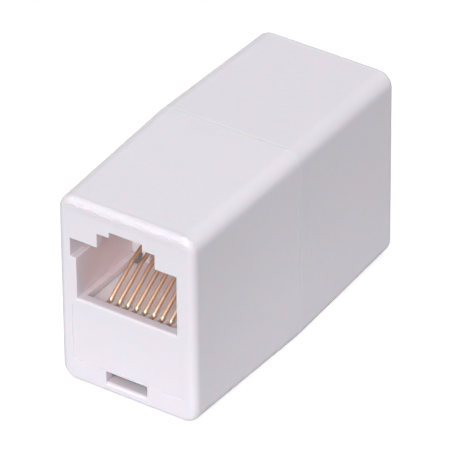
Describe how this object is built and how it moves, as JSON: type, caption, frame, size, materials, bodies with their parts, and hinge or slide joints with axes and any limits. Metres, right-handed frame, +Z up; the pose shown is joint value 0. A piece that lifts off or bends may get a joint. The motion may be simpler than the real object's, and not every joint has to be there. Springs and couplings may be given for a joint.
{
  "type": "rj45 inline coupler",
  "caption": "Off-white inline coupler: a drafted box of half shells joined at mid-length, with a keyed modular socket at each end, gold spring wires and a recessed end panel.",
  "frame": {"origin": "under the middle of the housing, on the level of its lowest edge at the seam", "axes": "+Z up with the latch notches on top, the front port opens along -Y and the rear port along +Y, +X to the right seen from the front"},
  "size_m": [0.0168, 0.0364, 0.0228],
  "materials": {
    "shell": "smooth off-white moulded plastic with a soft gloss",
    "insert": "natural off-white moulded plastic",
    "board": "green glass-fibre board",
    "solder": "bright solder",
    "contact_gold": "gold-plated spring wire"
  },
  "bodies": {
    "root": {"front_shell": "shell", "rear_shell": "shell", "front_insert": "insert", "rear_insert": "insert", "link_board": "board", "solder_joints": "solder", "front_contact_1": "contact_gold", "front_contact_2": "contact_gold", "front_contact_3": "contact_gold", "front_contact_4": "contact_gold", "front_contact_5": "contact_gold", "front_contact_6": "contact_gold", "front_contact_7": "contact_gold", "front_contact_8": "contact_gold", "rear_contact_1": "contact_gold", "rear_contact_2": "contact_gold", "rear_contact_3": "contact_gold", "rear_contact_4": "contact_gold", "rear_contact_5": "contact_gold", "rear_contact_6": "contact_gold", "rear_contact_7": "contact_gold", "rear_contact_8": "contact_gold"}
  },
  "joints": []
}
